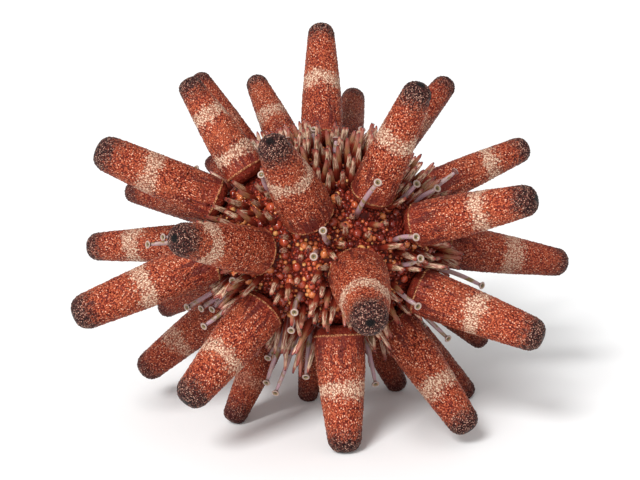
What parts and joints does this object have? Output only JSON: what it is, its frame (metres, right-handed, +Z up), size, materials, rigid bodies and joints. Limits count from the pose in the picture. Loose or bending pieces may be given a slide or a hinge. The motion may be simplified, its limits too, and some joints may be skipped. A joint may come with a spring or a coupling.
{
  "type": "sea urchin",
  "caption": "Pencil sea urchin with a low round shell, thick blunt banded spines on all sides, short pointed spines between them and slim tube feet.",
  "frame": {"origin": "on the surface that it stands on, under the middle of its outline", "axes": "+Z up, away from the mouth; the side towards -Y is the front"},
  "size_m": [0.1246, 0.1234, 0.0954],
  "materials": {
    "shell": "deep red-brown wet-looking granules and beads",
    "long_spine": "brick red granular calcite with a cream band and a dark grey-brown tip",
    "small_spine": "smooth olive and cream shaft with a red-brown foot and tip",
    "tube_foot": "pale lilac-grey skin with olive patches and a pale disc",
    "membrane": "leathery brown skin",
    "tooth": "ivory enamel"
  },
  "bodies": {
    "root": {"test": "shell", "mouth_membrane": "membrane", "tooth_1": "tooth", "tooth_2": "tooth", "tooth_3": "tooth", "tooth_4": "tooth", "tooth_5": "tooth", "spine_top": "long_spine", "spine_upper_left": "long_spine", "spine_upper_left_behind": "long_spine", "spine_upper_left_rear": "long_spine", "spine_upper_rear": "long_spine", "spine_upper_right": "long_spine", "spine_upper_right_behind": "long_spine", "spine_right_high": "long_spine", "spine_right_front": "long_spine", "spine_right_long": "long_spine", "spine_right_low": "long_spine", "spine_right_low_rear": "long_spine", "spine_lower_right": "long_spine", "spine_lower_front": "long_spine", "spine_lower_left": "long_spine", "spine_lower_left_side": "long_spine", "spine_left_low": "long_spine", "spine_left_low_rear": "long_spine", "spine_left_middle": "long_spine", "spine_left_high": "long_spine", "spine_left_rear": "long_spine", "spine_left_back": "long_spine", "spine_front_left": "long_spine", "spine_front_up": "long_spine", "spine_front_low": "long_spine", "spine_foot_left": "long_spine", "spine_foot_middle": "long_spine", "spine_foot_rear_right": "long_spine", "spine_foot_right": "long_spine", "spine_foot_rear_left": "long_spine", "spine_back_middle": "long_spine", "spine_back_right": "long_spine", "spine_back_left_low": "long_spine", "spine_back_right_low": "long_spine", "spine_back_side": "long_spine"}
  },
  "joints": []
}
